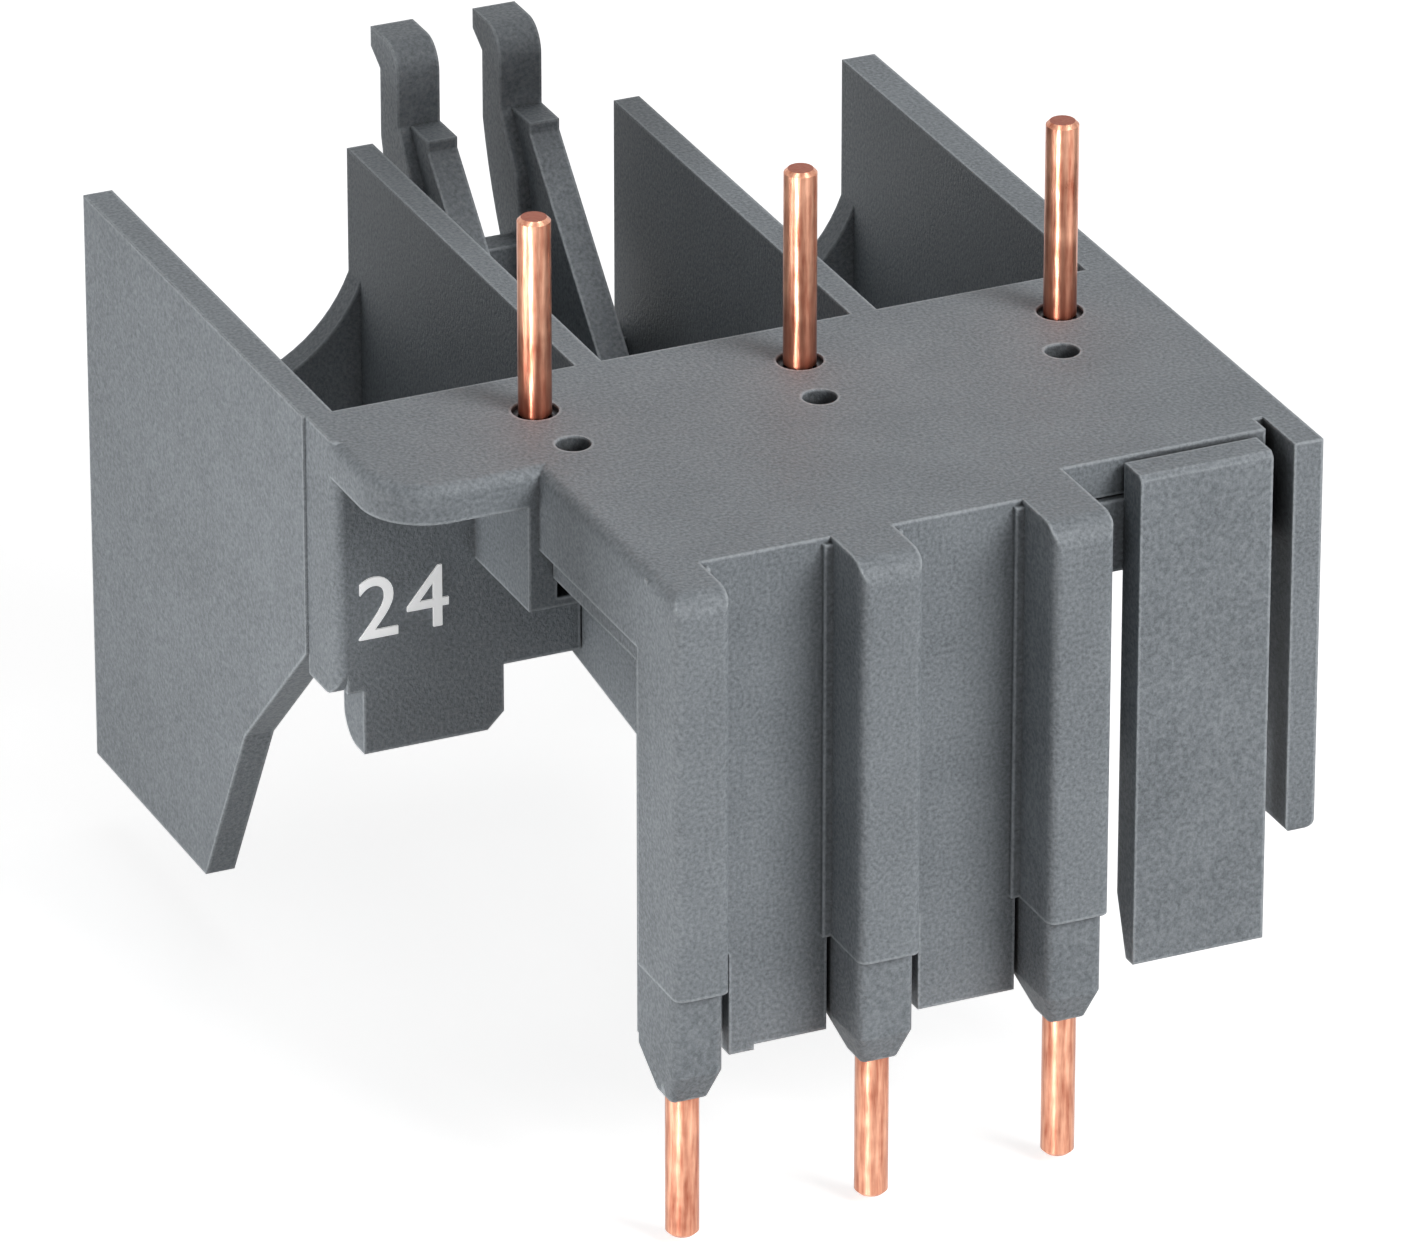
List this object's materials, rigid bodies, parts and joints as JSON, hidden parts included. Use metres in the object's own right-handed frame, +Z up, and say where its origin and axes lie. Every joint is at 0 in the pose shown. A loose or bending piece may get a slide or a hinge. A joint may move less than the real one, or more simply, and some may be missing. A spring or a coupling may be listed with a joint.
{
  "type": "contactor connecting link",
  "caption": "Plastic bridge with bent copper rods that joins a motor starter's outgoing terminals to a contactor's incoming ones and plugs in without wiring.",
  "frame": {"origin": "middle of the 45 mm width, on the line of the three upper pins, in the flat top of the plate", "axes": "+X to the right seen from the posts, +Y to the back towards the hooks, +Z up along the upper pins"},
  "size_m": [0.045, 0.0614, 0.0462],
  "materials": {
    "grey_plastic": "fine moulded grain",
    "dark_plastic": "fine moulded grain",
    "copper": "bare drawn copper, lightly polished"
  },
  "bodies": {
    "root": {"cover": "grey_plastic", "carrier": "dark_plastic", "conductor_left": "copper", "conductor_middle": "copper", "conductor_right": "copper"}
  },
  "joints": []
}
